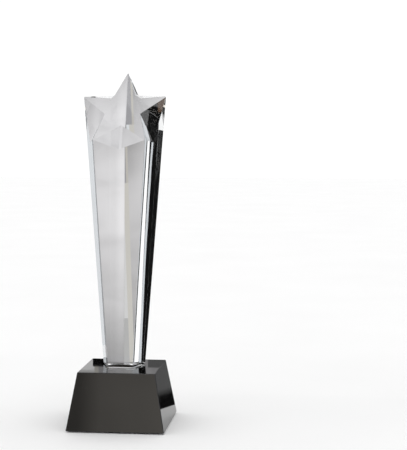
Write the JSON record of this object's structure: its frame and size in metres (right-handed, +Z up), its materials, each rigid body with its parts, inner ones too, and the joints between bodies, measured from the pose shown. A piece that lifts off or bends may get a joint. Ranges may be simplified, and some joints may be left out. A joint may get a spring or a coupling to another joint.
{
  "type": "star column crystal award",
  "caption": "Tall clear crystal column that widens upwards to a slanted star-shaped top, glued to a black crystal base that narrows upwards.",
  "frame": {"origin": "middle of the underside of the pad, on the surface that the award stands on", "axes": "+Z up the column, -Y out of the flat front face that a viewer sees, +X to that viewer's right"},
  "size_m": [0.08, 0.08, 0.2902],
  "materials": {
    "clear_crystal": "mirror polished",
    "black_crystal": "mirror polished, opaque",
    "cured_adhesive": "clear",
    "sheet_adhesive": "matte",
    "black_felt": "matte pile"
  },
  "bodies": {
    "root": {"star_column": "clear_crystal", "column_bond": "cured_adhesive", "base_block": "black_crystal", "pad_adhesive": "sheet_adhesive", "base_pad": "black_felt"}
  },
  "joints": []
}
